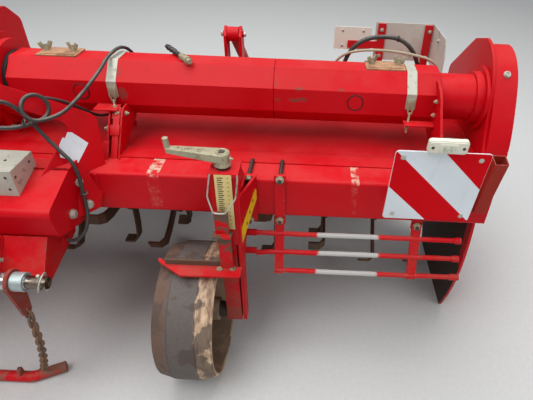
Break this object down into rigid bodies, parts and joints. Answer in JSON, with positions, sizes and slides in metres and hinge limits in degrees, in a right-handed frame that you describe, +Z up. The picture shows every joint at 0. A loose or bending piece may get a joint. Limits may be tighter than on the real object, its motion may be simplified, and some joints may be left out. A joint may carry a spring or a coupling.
{
  "type": "ridging rotary tiller",
  "caption": "Tractor-mounted rotary tiller with depth wheels and a hinged ridging body that forms potato ridges behind a full-width tined rotor.",
  "frame": {"origin": "on the ground below the middle of the machine outline", "axes": "+X to the machine right seen from the tractor looking back, +Y from the hitch to the rear, +Z up"},
  "size_m": [3.944, 2.0817, 1.341],
  "materials": {
    "red_paint": "gloss red paint with dust and chips",
    "rotor_steel": "soil-worn bare steel",
    "bare_steel": "worn bare steel",
    "zinc": "galvanised",
    "chrome_bar": "hard chrome",
    "rusty_steel": "rust",
    "tyre_rubber": "dusty smooth rubber",
    "black_plastic": "matt",
    "sign_plate": "reflective sheet",
    "lamp_plastic": "gloss",
    "brown_lid": "weathered",
    "grey_board": "matt",
    "cable_rubber": "matt",
    "pale_hose": "dusty"
  },
  "bodies": {
    "frame": {"board_holders": "red_paint", "board_lamps": "lamp_plastic", "chain_plates": "rusty_steel", "chains": "rusty_steel", "cover_shells": "red_paint", "cover_straps": "zinc", "cover_uprights": "red_paint", "depth_cranks": "zinc", "depth_guides": "red_paint", "drive_tubes": "red_paint", "front_guards": "red_paint", "gear_cases": "red_paint", "gearbox": "red_paint", "guard_boxes": "zinc", "headstock_beam": "red_paint", "headstock_gussets": "red_paint", "hitch_bar": "chrome_bar", "hood": "red_paint", "inspection_lids": "brown_lid", "lamp_cable": "cable_rubber", "link_collars": "zinc", "lower_link_arms": "red_paint", "main_tube": "red_paint", "pale_hose": "pale_hose", "pto_shield": "black_plastic", "rear_beam": "red_paint", "rear_boards": "grey_board", "rest_bar": "red_paint", "side_cable": "cable_rubber", "side_plates": "red_paint", "stay_clevises": "red_paint", "top_conduit": "cable_rubber", "top_hose": "pale_hose", "top_link_mast": "red_paint", "warning_boards": "sign_plate"},
    "input": {"input_shaft": "bare_steel"},
    "rotor": {"rotor_shaft": "red_paint", "rotor_tines": "rotor_steel"},
    "right_leg": {"depth_leg_right": "red_paint", "scraper_right": "red_paint"},
    "left_leg": {"depth_leg_left": "red_paint", "scraper_left": "red_paint"},
    "right_wheel": {"tyre_right": "tyre_rubber", "rim_right": "red_paint"},
    "left_wheel": {"tyre_left": "tyre_rubber", "rim_left": "red_paint"},
    "ridging_body": {"ridge_sheet": "bare_steel", "ridge_frame": "red_paint"},
    "sleeves": {"stay_sleeves": "red_paint"},
    "rods": {"stay_rods": "bare_steel"}
  },
  "joints": [
    {"name": "rotor_spin", "type": "hinge", "parent": "frame", "child": "rotor", "pos_m": [0, -0.17, 0.375], "axis": [1, 0, 0], "continuous": true},
    {"name": "input_spin", "type": "hinge", "parent": "frame", "child": "input", "pos_m": [0, -0.42, 0.88], "axis": [0, 1, 0], "continuous": true},
    {"name": "right_leg_slide", "type": "slide", "parent": "frame", "child": "right_leg", "axis": [0, 0, 1], "range_m": [-0.12, 0.08]},
    {"name": "left_leg_slide", "type": "slide", "parent": "frame", "child": "left_leg", "axis": [0, 0, 1], "range_m": [-0.12, 0.08]},
    {"name": "right_wheel_spin", "type": "hinge", "parent": "right_leg", "child": "right_wheel", "pos_m": [0.878, -0.766, 0.25], "axis": [1, 0, 0], "continuous": true},
    {"name": "left_wheel_spin", "type": "hinge", "parent": "left_leg", "child": "left_wheel", "pos_m": [-0.878, -0.766, 0.25], "axis": [1, 0, 0], "continuous": true},
    {"name": "ridge_float", "type": "hinge", "parent": "frame", "child": "ridging_body", "pos_m": [0, 0.185, 0.76], "axis": [1, 0, 0], "range_deg": [-4, 10]},
    {"name": "stay_swing", "type": "hinge", "parent": "frame", "child": "sleeves", "pos_m": [0, 0.1, 1], "axis": [1, 0, 0], "range_deg": [-3.4, 8]},
    {"name": "stay_slide", "type": "slide", "parent": "sleeves", "child": "rods", "axis": [0, 0.8039, -0.5947], "range_m": [-0.027, 0.012]}
  ],
  "couplings": [
    {"joint": "input_spin", "follows": "rotor_spin", "ratio": 4},
    {"joint": "stay_swing", "follows": "ridge_float", "ratio": 0.7716},
    {"joint": "stay_slide", "follows": "ridge_float", "m_per_rad": -0.1509}
  ]
}
